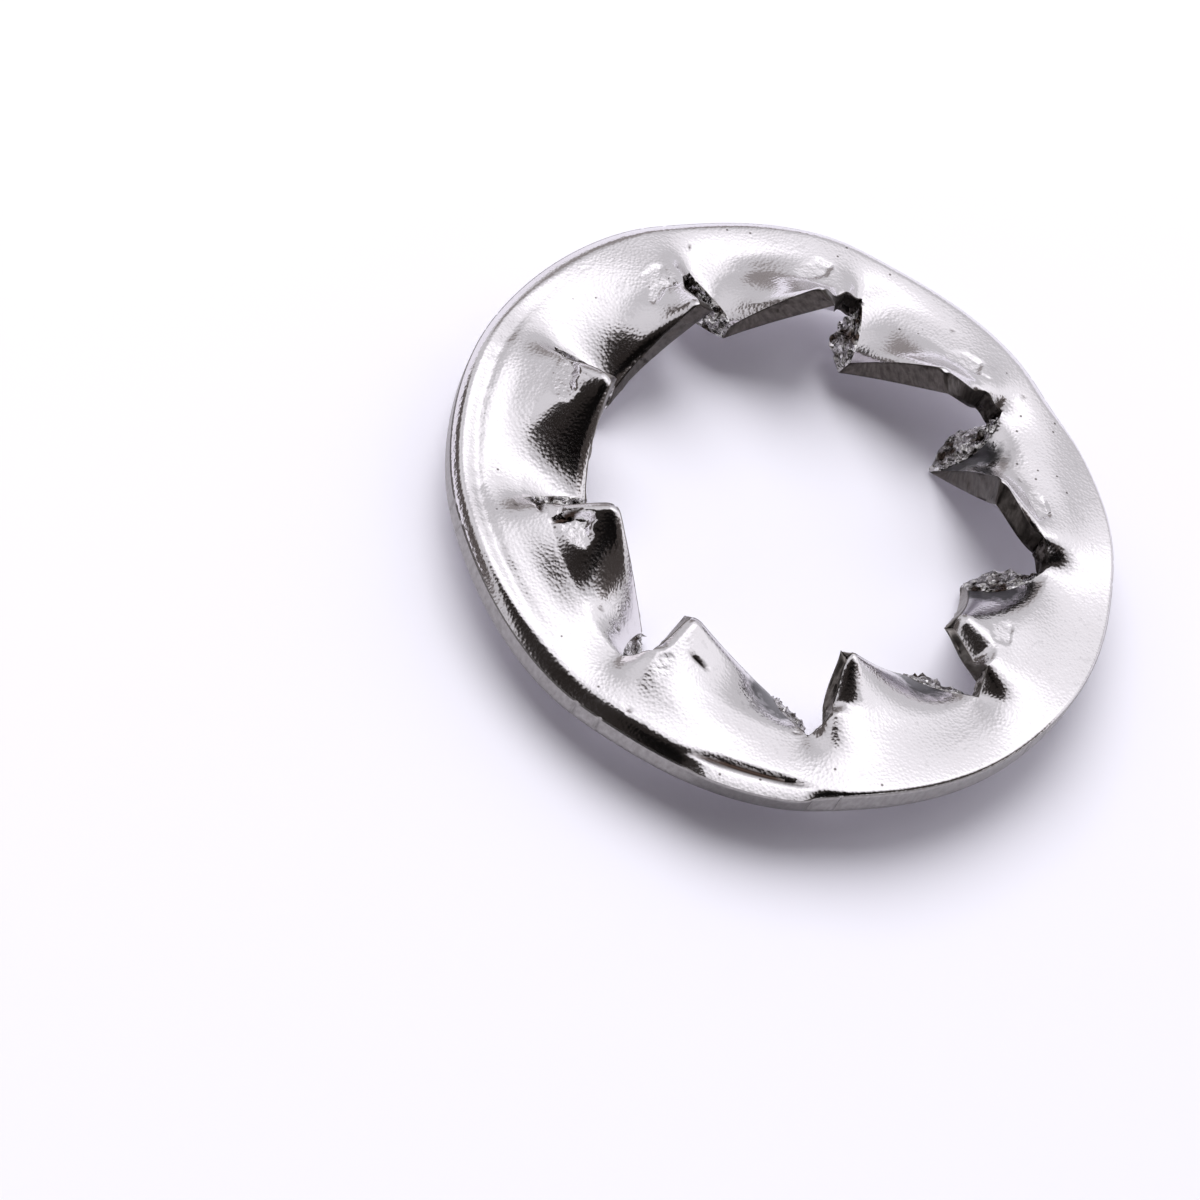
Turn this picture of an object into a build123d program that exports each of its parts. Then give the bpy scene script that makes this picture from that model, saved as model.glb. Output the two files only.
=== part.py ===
from build123d import *
from build123d.topology import SkipClean

import os
from dataclasses import dataclass
from functools import partial
from math import comb

import numpy as np

# Toothed lock washer for a 10 mm screw, with nine inward teeth, in sheet steel.
# Millimetres. Origin on the screw's axis, at the middle of the sheet's thickness.
# Angles are in degrees, anticlockwise seen from above (+Z).

# Ring
RIM_RADIUS = 9.0
BORE_RADIUS = 5.35
SHEET = 0.8
RIM_ROLL_DROP = 0.22
RIM_ROLL_POWER = 6  # the higher, the closer to its edge a roll stays
RIM_DRAW = 0.03  # the rolled edge lies this far inside the sheared face's lower edge

# Waves of the ring, which run on from the teeth
TEETH = 9
PITCH = 360 / TEETH
WAVE_AT_RIM = 0.08
WAVE_AT_ROOT = 0.28
WAVE_GROWTH = 3.5  # the higher, the nearer to the teeth the waves stay
WAVE_LEAN_AT_RIM = 0.3
WAVE_LEAN_AT_ROOT = 0.75

# Slow bend of the rim: (waves round the rim, height, angle of its crest)
RIM_BENDS = ((2, 0.117, 141.7), (3, 0.081, -28.2))

# Notch roots, which slant from the raised side of one tooth to the lowered side of the next
ROOT_RAISED_RADIUS = 6.85
ROOT_LOWERED_RADIUS = 7.25
ROOT_RADIUS = (ROOT_RAISED_RADIUS + ROOT_LOWERED_RADIUS) / 2
ROOT_HALF_ANGLE = 17.8

# Round swells and hollows that the twisting left at the teeth's roots
SWELL_RADIUS = 6.6
SWELL_REACH = 1.2
SWELL_HALF_ANGLE = 15

# Teeth
TIP_CURL_SHARE = 0.7  # share of a tip's rise that follows its curl; the rest is an S
LOWERED_SIDE_BOW = 1.2  # over 1, a side bows in towards the tooth's centre line; under 1, out
RAISED_SIDE_BOW = 0.95
SIDE_ROLL_DROP = 0.18
SIDE_ROLL_POWER = 6
SIDE_ROLL_RUN_IN = 0.25  # share of a tooth over which its side's roll deepens
TIP_ROLL_DROP = 0.12
TIP_ROLL_POWER = 5
TORN_FLARE = 0.8  # how far the torn side's lower edge reaches out past its upper edge
TORN_LIFT = 0.16
TORN_POWER = 3  # the higher, the closer to its edge the flare stays
TORN_RUN = 0.78  # half-waves of the flare from a tooth's root to its tip
TRIM = 0.02  # metal that the bore takes off each tip

# Degrees of the Bezier faces
WAVED = 8
PLAIN = 4
RULED = 1


@dataclass(frozen=True)
class Tooth:
    """The twist of one tooth, from the upper corners of its tip before its edges were rolled.

    Angles are measured from the tooth's centre line, and heights from the middle of the sheet.
    The curl, from 0 to 1, flattens the raised side and steepens the lowered one. The bend is the
    length of the bend at the root, as a share of the tooth. A swell below 0 is a hollow.
    """

    lowered_angle: float
    lowered_height: float
    raised_angle: float
    raised_height: float
    curl: float
    bend: float
    swell: float
    swell_angle: float


# Tooth by tooth, anticlockwise from +X: no two were twisted alike
TOOTH_FORMS = (
    Tooth(12.5, -0.68, 13.9, 0.88, 0.0, 0.25, 0.12, 3),
    Tooth(16.0, -0.98, 8.8, 1.74, 0.0, 0.25, -0.12, -6),
    Tooth(14.7, -0.23, 11.0, 1.86, 0.0, 0.25, 0.1, 6),
    Tooth(13.0, 0.24, 8.9, 2.3, 0.0, 0.4, 0.2, 1),
    Tooth(14.5, -0.28, 13.0, 1.76, 0.4, 0.6, 0.0, 0),
    Tooth(15.8, -0.28, 12.4, 1.66, 0.3, 0.12, 0.15, -3),
    Tooth(15.1, -1.13, 11.0, 1.64, 0.6, 0.12, 0.16, -3),
    Tooth(14.8, -1.03, 15.6, 0.98, 0.25, 0.25, -0.1, -2),
    Tooth(14.6, -0.83, 13.5, 1.5, 0.0, 0.25, 0.03, 5),
)


def ease(x):
    """A smooth step from 0 to 1 as x goes from 0 to 1."""
    x = np.clip(x, 0, 1)
    return x * x * (3 - 2 * x)


def mix(a, b, share):
    """The value this share of the way from a to b."""
    return a + (b - a) * share


def space(radius, angle, height):
    """Cylindrical coordinates turned into points."""
    turn = np.radians(angle)
    return np.stack([radius * np.cos(turn), radius * np.sin(turn), height], axis=-1)


def swell_height(radius, angle):
    """Swells and hollows at the teeth's roots: (1 - x^2)^2 along the radius and round the axis."""
    reach = np.clip(1 - ((radius - SWELL_RADIUS) / SWELL_REACH) ** 2, 0, None) ** 2
    rise = 0 * angle
    for index, tooth in enumerate(TOOTH_FORMS):
        turn = (angle - index * PITCH - tooth.swell_angle + 180) % 360 - 180
        rise = rise + tooth.swell * np.clip(1 - (turn / SWELL_HALF_ANGLE) ** 2, 0, None) ** 2
    return reach * rise


def ring_height(radius, angle):
    """Upper surface of the ring: waves that lean towards the notches, on a slowly bent rim.

    A leaning wave is atan(k sin x / (1 + k cos x)): a sine when k is small, and nearly a
    sawtooth, with its fast side at the notch, as k nears 1.
    """
    outward = (RIM_RADIUS - radius) / (RIM_RADIUS - ROOT_RADIUS)
    lean = mix(WAVE_LEAN_AT_RIM, WAVE_LEAN_AT_ROOT, ease(outward) ** 2)
    growth = np.clip(outward, 0, None) ** WAVE_GROWTH
    size = mix(WAVE_AT_RIM, WAVE_AT_ROOT, 2 * growth / (1 + growth))
    turn = np.radians(TEETH * angle)
    wave = -np.arctan2(lean * np.sin(turn), 1 + lean * np.cos(turn)) / np.arcsin(lean)
    bend = sum(h * np.cos(np.radians(n * (angle - crest))) for n, h, crest in RIM_BENDS)
    return SHEET / 2 + size * wave + bend * (1 - ease(outward)) + swell_height(radius, angle)


def root_line(across):
    """Radius and angle along a tooth's root, from its lowered side (0) to its raised side (1)."""
    radius = mix(ROOT_LOWERED_RADIUS, ROOT_RAISED_RADIUS, across)
    return radius, mix(ROOT_HALF_ANGLE, -ROOT_HALF_ANGLE, across)


def tip_height(tooth, across):
    """Height of a tooth's tip: part of the rise follows the curl, and the rest is an S."""
    swing = (1 - np.cos(np.pi * across)) / 2
    curled = mix(across, 1 - (1 - across) ** 2, tooth.curl)
    share = mix(swing, curled, TIP_CURL_SHARE)
    return mix(tooth.lowered_height, tooth.raised_height, share)


def tooth_section(index, across, inward):
    """Radius, angle and height of a tooth's upper surface, without its rolled edges.

    The tooth leaves the ring's waves in a short bend and then runs straight to its tip line.
    """
    tooth = TOOTH_FORMS[index]
    centre = index * PITCH
    tip_radius = BORE_RADIUS - TRIM
    root_radius, root_angle = root_line(across)
    tip_angle = mix(tooth.lowered_angle, -tooth.raised_angle, across)
    radius = mix(root_radius, tip_radius, inward)
    bow = (1 - inward) ** mix(LOWERED_SIDE_BOW, RAISED_SIDE_BOW, across)
    angle = centre + mix(tip_angle, root_angle, bow)
    leave = (np.hypot(inward, tooth.bend) - tooth.bend) / (np.hypot(1, tooth.bend) - tooth.bend)
    gap = tip_height(tooth, across) - ring_height(tip_radius, centre + tip_angle)
    return radius, angle, ring_height(radius, angle) + gap * leave


def tooth_top(index, across, inward):
    """Upper surface of a tooth, rolled over towards its raised side and its tip.

    Each roll is a high power of the share of the way to its edge, so it stays close to the edge.
    """
    radius, angle, height = tooth_section(index, across, inward)
    side_drop = SIDE_ROLL_DROP * across**SIDE_ROLL_POWER * ease(inward / SIDE_ROLL_RUN_IN)
    return space(radius, angle, height - side_drop - TIP_ROLL_DROP * inward**TIP_ROLL_POWER)


def tip_slope(tooth, across):
    """How steeply a tooth's tip rises round its arc."""
    curled = mix(1, 2 - 2 * across, tooth.curl)
    rate = mix(np.pi / 2 * np.sin(np.pi * across), curled, TIP_CURL_SHARE)
    arc = np.radians(tooth.lowered_angle + tooth.raised_angle) * BORE_RADIUS
    return (tooth.raised_height - tooth.lowered_height) * rate / arc


def tooth_bottom(index, across, inward):
    """Lower surface: parallel to the upper one round each arc, and flared at the torn side.

    At the root it lies straight below, as on the ring. Towards the tip it turns to lie square
    to the twisted sheet.
    """
    radius, angle, height = tooth_section(index, across, inward)
    lean = np.arctan(tip_slope(TOOTH_FORMS[index], across) * inward)
    torn = (1 - across) ** TORN_POWER * np.sin(TORN_RUN * np.pi * inward)
    shift = TORN_FLARE * torn - SHEET * np.sin(lean)
    drop = SHEET * np.cos(lean) - TORN_LIFT * torn
    return space(radius, angle + np.degrees(shift / radius), height - drop)


def ring_line(index, along):
    """Inner edge of a pitch of the ring: a tooth's root (0 to 1), then the notch's root (1 to 2)."""
    past = np.clip(along - 1, 0, 1)
    radius, angle = root_line(along - past)
    radius = radius + (ROOT_LOWERED_RADIUS - ROOT_RAISED_RADIUS) * past
    return radius, index * PITCH + angle - (PITCH - 2 * ROOT_HALF_ANGLE) * past


def ring_top(index, along, outward):
    """Upper surface of one pitch of the ring, with the die roll at its rim."""
    inner, angle = ring_line(index, along)
    radius = mix(inner, RIM_RADIUS - RIM_DRAW, outward)
    return space(radius, angle, ring_height(radius, angle) - RIM_ROLL_DROP * outward**RIM_ROLL_POWER)


def ring_bottom(index, along, outward):
    """Lower surface of one pitch of the ring, straight below the upper one."""
    inner, angle = ring_line(index, along)
    radius = mix(inner, RIM_RADIUS, outward)
    return space(radius, angle, ring_height(radius, angle) - SHEET)


def first_start(share):
    """Both parameters of a surface, along the border where the first one starts."""
    return 0 * share, share


def first_end(share):
    """Both parameters, along the border where the first one ends."""
    return 0 * share + 1, share


def second_start(share):
    """Both parameters, along the border where the second one starts."""
    return share, 0 * share


def second_end(share):
    """Both parameters, along the border where the second one ends."""
    return share, 0 * share + 1


def wall(upper, lower, border):
    """A wall ruled from a border of the upper surface (0) to that of the lower one (1)."""

    def points(share, depth):
        return mix(upper(*border(share)), lower(*border(share)), depth[..., None])

    return points


def bernstein(degree, at):
    """The Bernstein polynomials of this degree, one column each, at these parameters."""
    at = at[:, None]
    power = np.arange(degree + 1)
    choose = np.array([comb(degree, i) for i in power])
    return choose * at**power * (1 - at) ** (degree - power)


def patch(surface, along, across, degrees):
    """A Bezier face through the surface's points at cosine-spaced parameters.

    Faces that share an edge sample it at the same points, so they meet exactly.
    """
    nodes = [(1 - np.cos(np.pi * np.arange(n + 1) / n)) / 2 for n in degrees]
    spans = [mix(*span, node) for span, node in zip((along, across), nodes)]
    points = surface(*np.meshgrid(*spans, indexing="ij"))
    first, second = (np.linalg.inv(bernstein(n, node)) for n, node in zip(degrees, nodes))
    net = np.einsum("ai,bj,ijk->abk", first, second, points)
    return Face.make_bezier_surface([[Vector(*point) for point in row] for row in net])


def pitch_faces(index):
    """Every face of one tooth, of its pitch of the ring and of the notch beside it."""
    top, bottom = partial(tooth_top, index), partial(tooth_bottom, index)
    ring, under = partial(ring_top, index), partial(ring_bottom, index)
    whole, notch = (0, 1), (1, 2)
    faces = [patch(skin, whole, whole, (WAVED, WAVED)) for skin in (top, bottom)]
    for border in (second_end, first_start, first_end):
        faces.append(patch(wall(top, bottom, border), whole, whole, (WAVED, RULED)))
    for part in (whole, notch):
        faces.append(patch(ring, part, whole, (WAVED, WAVED)))
        faces.append(patch(under, part, whole, (WAVED, PLAIN)))
        faces.append(patch(wall(ring, under, second_end), part, whole, (WAVED, RULED)))
    faces.append(patch(wall(ring, under, second_start), notch, whole, (WAVED, RULED)))
    return faces


def bored(washer):
    """The washer with its tips cut to the bore, a third of a pitch at a time.

    The thirds keep each tip's face in pieces that follow the twist.
    """
    third = PITCH / 3
    height = 4 * RIM_RADIUS
    cuts = []
    for turn in range(3 * TEETH):
        sector = Solid.make_cylinder(BORE_RADIUS, height, Plane((0, 0, -height / 2)), angle=third)
        cuts.append(sector.rotate(Axis.Z, (turn - 0.5) * third))
    with SkipClean():
        return washer.cut(*cuts)


def main():
    faces = [face for index in range(TEETH) for face in pitch_faces(index)]
    washer = bored(Solid(Shell(Face.sew_faces(faces)[0])))
    os.makedirs("parts", exist_ok=True)
    export_step(washer, "parts/washer.step")


main()
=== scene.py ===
"""Looks of a toothed lock washer, stamped from spring steel and plated with bright nickel.

Shapes are worked out in millimetres, in the washer's own frame: +Z runs up its axis and angles are
anticlockwise from +X, seen from above. They turn to metres where the mesh is made.
"""

import logging
import math
from dataclasses import dataclass, field, replace
from enum import Enum
from typing import Any

import bpy
import numpy as np
from mathutils import Matrix, Vector


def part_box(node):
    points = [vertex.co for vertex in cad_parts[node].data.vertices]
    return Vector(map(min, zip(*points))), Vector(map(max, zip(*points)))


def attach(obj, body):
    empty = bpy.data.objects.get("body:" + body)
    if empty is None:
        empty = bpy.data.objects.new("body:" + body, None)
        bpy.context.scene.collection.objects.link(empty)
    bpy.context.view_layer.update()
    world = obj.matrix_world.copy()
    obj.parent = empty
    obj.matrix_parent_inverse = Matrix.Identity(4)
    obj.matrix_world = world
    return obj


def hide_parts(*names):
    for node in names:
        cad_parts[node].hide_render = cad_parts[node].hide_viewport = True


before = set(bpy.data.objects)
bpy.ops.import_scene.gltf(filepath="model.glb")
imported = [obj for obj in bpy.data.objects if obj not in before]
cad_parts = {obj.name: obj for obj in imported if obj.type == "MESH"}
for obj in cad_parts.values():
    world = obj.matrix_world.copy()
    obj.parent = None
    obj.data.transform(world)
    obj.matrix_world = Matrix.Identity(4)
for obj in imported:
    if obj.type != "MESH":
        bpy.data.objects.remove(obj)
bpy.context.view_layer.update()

LOG = logging.getLogger("washer")
MM = 0.001
WELD_STEPS_PER_MM = 1e5
SHARP_EDGE_DEGREES = 42
SEEDS_PER_TOOTH = 100

Grid = np.ndarray
Pair = tuple[float, float]
Triple = tuple[float, float, float]
Rows = tuple[int, float, float]


class Skin(Enum):
    """How a face of the washer was made. The value is the number kept on the mesh."""

    PLATED = 0
    SHEARED = 1
    TORN = 2
    PUNCHED = 3
    # Punched faces painted dark as painted shade, where they lie in shade.
    PAINTED_SHADE = 4


def ease(x: Grid, start: Grid = 0, width: Grid = 1) -> Grid:
    """A smooth step, 3s^2 - 2s^3, s being how far past its start x is over its width, 0 to 1."""
    share = np.clip((x - start) / width, 0, 1)
    return share * share * (3 - 2 * share)


def mix(a: Grid, b: Grid, share: Grid) -> Grid:
    """The value this share of the way from a to b."""
    return a + (b - a) * share


def wrapped(angle: Grid) -> Grid:
    """An angle brought into the range from -180 to 180."""
    return (angle + 180) % 360 - 180


def space(radius: Grid, angle: Grid, height: Grid) -> Grid:
    """Cylindrical coordinates turned into points: (r cos t, r sin t, z)."""
    turn = np.radians(angle)
    return np.stack([radius * np.cos(turn), radius * np.sin(turn), height], axis=-1)


def clustered(count: int, first: float, last: float) -> Grid:
    """Shares from 0 to 1 that crowd together towards the ends.

    Each is s - c sin(2 pi s) / (2 pi), c going from first to last, so that steps near an end
    are shorter than even ones.

    Args:
        count: how many shares.
        first: how strongly they crowd at 0.
        last: how strongly they crowd at 1.

    Returns:
        The shares.
    """
    even = np.linspace(0, 1, count)
    crowd = mix(first, last, even) * np.sin(2 * np.pi * even) / (2 * np.pi)
    return even - crowd


@dataclass(frozen=True)
class Ripple:
    """Smooth random relief: a sum of plane sine waves with random headings and phases."""

    seed: int
    wavelength: float
    waves: int = 28

    def at(self, points: Grid) -> Grid:
        """Height of the relief, about -1 to 1.

        Args:
            points: positions, any shape with three last.

        Returns:
            The sum of sin(k.p + phase) over the waves, over the root of half their number.
        """
        draw = np.random.default_rng(self.seed)
        heading = draw.normal(size=(self.waves, 3))
        heading /= np.linalg.norm(heading, axis=1, keepdims=True)
        length = self.wavelength * draw.uniform(0.7, 1.5, self.waves)
        phase = draw.uniform(0, 2 * np.pi, self.waves)
        swing = points @ (heading * (2 * np.pi / length[:, None])).T + phase
        return np.sin(swing).sum(axis=-1) / math.sqrt(self.waves / 2)


@dataclass(frozen=True)
class Grain:
    """Torn metal: flat facets, each tilted its own way, round scattered centres."""

    seed: int
    spacing: float
    tilt: float
    step: float

    def at(self, run: Grid, depth: Grid) -> Grid:
        """Height of the facets over a face.

        The nearest centre c gives a point p its facet: step_c + tilt_c.(p - c).

        Args:
            run: millimetres along the face.
            depth: millimetres down the face.

        Returns:
            Heights.
        """
        draw = np.random.default_rng(self.seed)
        low = np.array([run.min(), depth.min()]) - self.spacing
        high = np.array([run.max(), depth.max()]) + self.spacing
        count = max(4, int(np.prod((high - low) / self.spacing)))
        centres = draw.uniform(low, high, (count, 2))
        tilts = draw.normal(0, self.tilt, (count, 2))
        steps = draw.normal(0, self.step, count)
        offset = np.stack([run, depth], axis=-1)[..., None, :] - centres
        nearest = np.argmin((offset**2).sum(axis=-1), axis=-1)
        reach = np.take_along_axis(offset, nearest[..., None, None], axis=-2)[..., 0, :]
        return steps[nearest] + (tilts[nearest] * reach).sum(axis=-1)

    def reseeded(self, index: int) -> "Grain":
        """The same grain, drawn anew for a tooth."""
        return replace(self, seed=self.seed + SEEDS_PER_TOOTH * index)


@dataclass(frozen=True)
class Tooth:
    """One tooth: the upper corners of its tip, and how it was bent, rolled and torn.

    Angles are from the tooth's centre line and heights from the middle of the sheet. The swell is
    at its root, the roll and its flare along its raised side, torn_back is how many degrees the
    torn side stands back, and curl, crease, pinch and the lowered side's darkening are shares.
    That darkening is plating worn thin, and also painted shade for the dark reflection there. The
    last flag paints the tooth's punched faces dark, as painted shade.
    """

    lowered_angle: float
    lowered_height: float
    raised_angle: float
    raised_height: float
    curl: float = 0.0
    bend: float = 0.25
    swell: float = 0.0
    swell_angle: float = 0.0
    roll_width: float = 0.3
    roll_drop: float = 0.18
    crease: float = 0.0
    # How far the lowered side darkens: plating worn thin, and painted shade.
    rub_and_shade: float = 0.0
    roll_flare: float = 0.0
    torn_back: float = 1.0
    pinch: float = 0.0
    # Paints the punched faces dark, as painted shade.
    punch_painted_shade: bool = False


@dataclass(frozen=True)
class Stretch:
    """A stretch of the rim: its middle, half its length and how far its ends fade, in degrees."""

    middle: float
    half: float
    fade: float

    def share(self, angle: Grid) -> Grid:
        """1 on the stretch, easing to 0 over the fade beyond its ends."""
        return 1 - ease(np.abs(wrapped(angle - self.middle)), self.half, self.fade)


@dataclass(frozen=True)
class Mark:
    """An elliptical mark in the upper surface: its middle, half sizes, heading and depth."""

    radius: float
    angle: float
    length: float
    width: float
    heading: float
    depth: float

    def offset(self, points: Grid) -> Grid:
        """How far points lie from the mark's middle, seen from above."""
        turn = math.radians(self.angle)
        return points[:, :2] - self.radius * np.array([math.cos(turn), math.sin(turn)])

    def spread(self, points: Grid) -> Grid:
        """Distance from the middle over the half size, hypot(run / length, side / width).

        Args:
            points: the washer's points.

        Returns:
            0 at the middle of the mark and 1 at its border.
        """
        along = math.radians(self.angle + 90 + self.heading)
        offset = self.offset(points)
        run = (offset @ [math.cos(along), math.sin(along)]) / self.length
        side = (offset @ [-math.sin(along), math.cos(along)]) / self.width
        return np.hypot(run, side)


@dataclass(frozen=True)
class Flat(Mark):
    """A flat left by the clamping die: the crest under it is brought down to a plane."""

    settle: float = 0.5
    die_slope: Pair = (-0.05, -0.1)
    ragged: float = 0.16
    ragged_mm: float = 0.5
    border: float = 0.9
    border_fade: float = 0.3

    def press(self, points: Grid, upper: Grid) -> tuple[Grid, Grid]:
        """Brings the metal under the die down to a plane.

        The plane lies between the least-squares plane of the points under the die and the die's
        own face, which leans a little, and it is sunk by the depth. Each point comes down to it
        where it stands above it. Ripples make the flat's border ragged.

        Args:
            points: the washer's points.
            upper: which are on the upper surface.

        Returns:
            The drop at every point, and how far each point lies in the flat.
        """
        offset = self.offset(points)
        ripple = Ripple(int(self.angle), self.ragged_mm).at(points)
        reach = self.spread(points) + self.ragged * ripple
        under = upper & (reach < 1)
        base = np.column_stack([np.ones(under.sum()), offset[under]])
        plane, *_ = np.linalg.lstsq(base, points[under, 2], rcond=None)
        slope = mix(plane[1:], np.array(self.die_slope), self.settle)
        level = plane[0] + offset @ slope - self.depth
        above = np.clip(points[:, 2] - level, 0, None)
        share = np.where(upper, 1 - ease(reach, self.border, self.border_fade), 0)
        return above * share, np.where(above > 0, share, 0)


@dataclass(frozen=True)
class Pit(Mark):
    """A small nick: an elliptical hollow with a level floor, darkened as dirt and painted shade."""

    floor: float = 0.0

    def share(self, points: Grid) -> Grid:
        """How far into the pit each point lies: 1 on its floor, easing to 0 at its border."""
        return 1 - ease(self.spread(points), self.floor, 1 - self.floor)


@dataclass
class Shell:
    """Grids of points, welded into one skin wherever two points coincide."""

    parts: list[tuple[Grid, ...]] = field(default_factory=list)
    count: int = 0

    def add(self, grid: Grid, skin: Skin, turned: bool = False, upper: bool = False,
            rub_and_shade: Grid | None = None) -> None:
        """Adds one grid.

        The layout of a point is how far it lies along the grid and down it.

        Args:
            grid: points, rows by columns by three.
            skin: how this face was made.
            turned: whether its quads are wound the other way.
            upper: whether it's part of the washer's upper surface.
            rub_and_shade: how far the plating is worn thin at each point, darkened there also as
                painted shade.
        """
        rows, columns = grid.shape[:2]
        index = np.arange(rows * columns).reshape(rows, columns) + self.count
        corners = [index[:-1, :-1], index[1:, :-1], index[1:, 1:], index[:-1, 1:]]
        quads = np.stack(corners[::-1] if turned else corners, axis=-1).reshape(-1, 4)
        middle = grid[:, columns // 2]
        steps = np.linalg.norm(np.diff(middle, axis=0, prepend=middle[:1]), axis=-1)
        run = np.repeat(np.cumsum(steps)[:, None], columns, axis=1)
        drops = np.linalg.norm(np.diff(grid, axis=1, prepend=grid[:, :1]), axis=-1)
        depth = np.cumsum(drops, axis=1)
        self.parts.append((
            grid.reshape(-1, 3), quads, np.full(len(quads), skin.value),
            np.stack([run, depth], axis=-1).reshape(-1, 2), np.full(rows * columns, upper),
            np.zeros(rows * columns) if rub_and_shade is None else rub_and_shade.ravel()))
        self.count += rows * columns

    def welded(self) -> tuple[Grid, Grid, Grid, Grid, Grid, Grid]:
        """Joins points that lie at the same place.

        Returns:
            Points, quads, the skin of each quad, the layout of each quad corner, which points are
            on the upper surface, and how far each point darkens, as worn plating and painted shade.
        """
        points, quads, skins, layout, uppers, rubs_and_shades = map(np.concatenate, zip(*self.parts))
        key = np.round(points * WELD_STEPS_PER_MM).astype(np.int64)
        _, first, place = np.unique(key, axis=0, return_index=True, return_inverse=True)
        place = place.ravel()
        upper, rub_and_shade = np.zeros(len(first), bool), np.zeros(len(first))
        np.logical_or.at(upper, place, uppers)
        np.maximum.at(rub_and_shade, place, rubs_and_shades)
        return points[first], place[quads], skins, layout[quads.ravel()], upper, rub_and_shade


def hex_linear(code: str) -> tuple[float, float, float, float]:
    """An sRGB hex colour as linear red, green, blue and full alpha."""
    parts = (int(code[i : i + 2], 16) / 255 for i in (1, 3, 5))
    return (*(p / 12.92 if p <= 0.04045 else ((p + 0.055) / 1.055) ** 2.4 for p in parts), 1.0)


def add_node(tree: Any, kind: str, inputs: dict[Any, Any] | None = None, **settings: Any) -> Any:
    """Adds a node.

    Args:
        tree: the node tree.
        kind: the node's type name, without ShaderNode before it.
        inputs: for each socket, a value, or another node's output socket to link.
        settings: values of the node's own fields.

    Returns:
        The new node.
    """
    node = tree.nodes.new("ShaderNode" + kind)
    for name, value in settings.items():
        setattr(node, name, value)
    for name, value in (inputs or {}).items():
        if isinstance(value, bpy.types.NodeSocket):
            tree.links.new(value, node.inputs[name])
        else:
            node.inputs[name].default_value = value
    return node


def blank_material(name: str) -> tuple[bpy.types.Material, Any]:
    """Makes a material with no nodes.

    Args:
        name: the material's name.

    Returns:
        The material and its node tree.
    """
    mat = bpy.data.materials.new(name)
    mat.use_nodes = True
    mat.node_tree.nodes.clear()
    return mat, mat.node_tree


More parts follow.
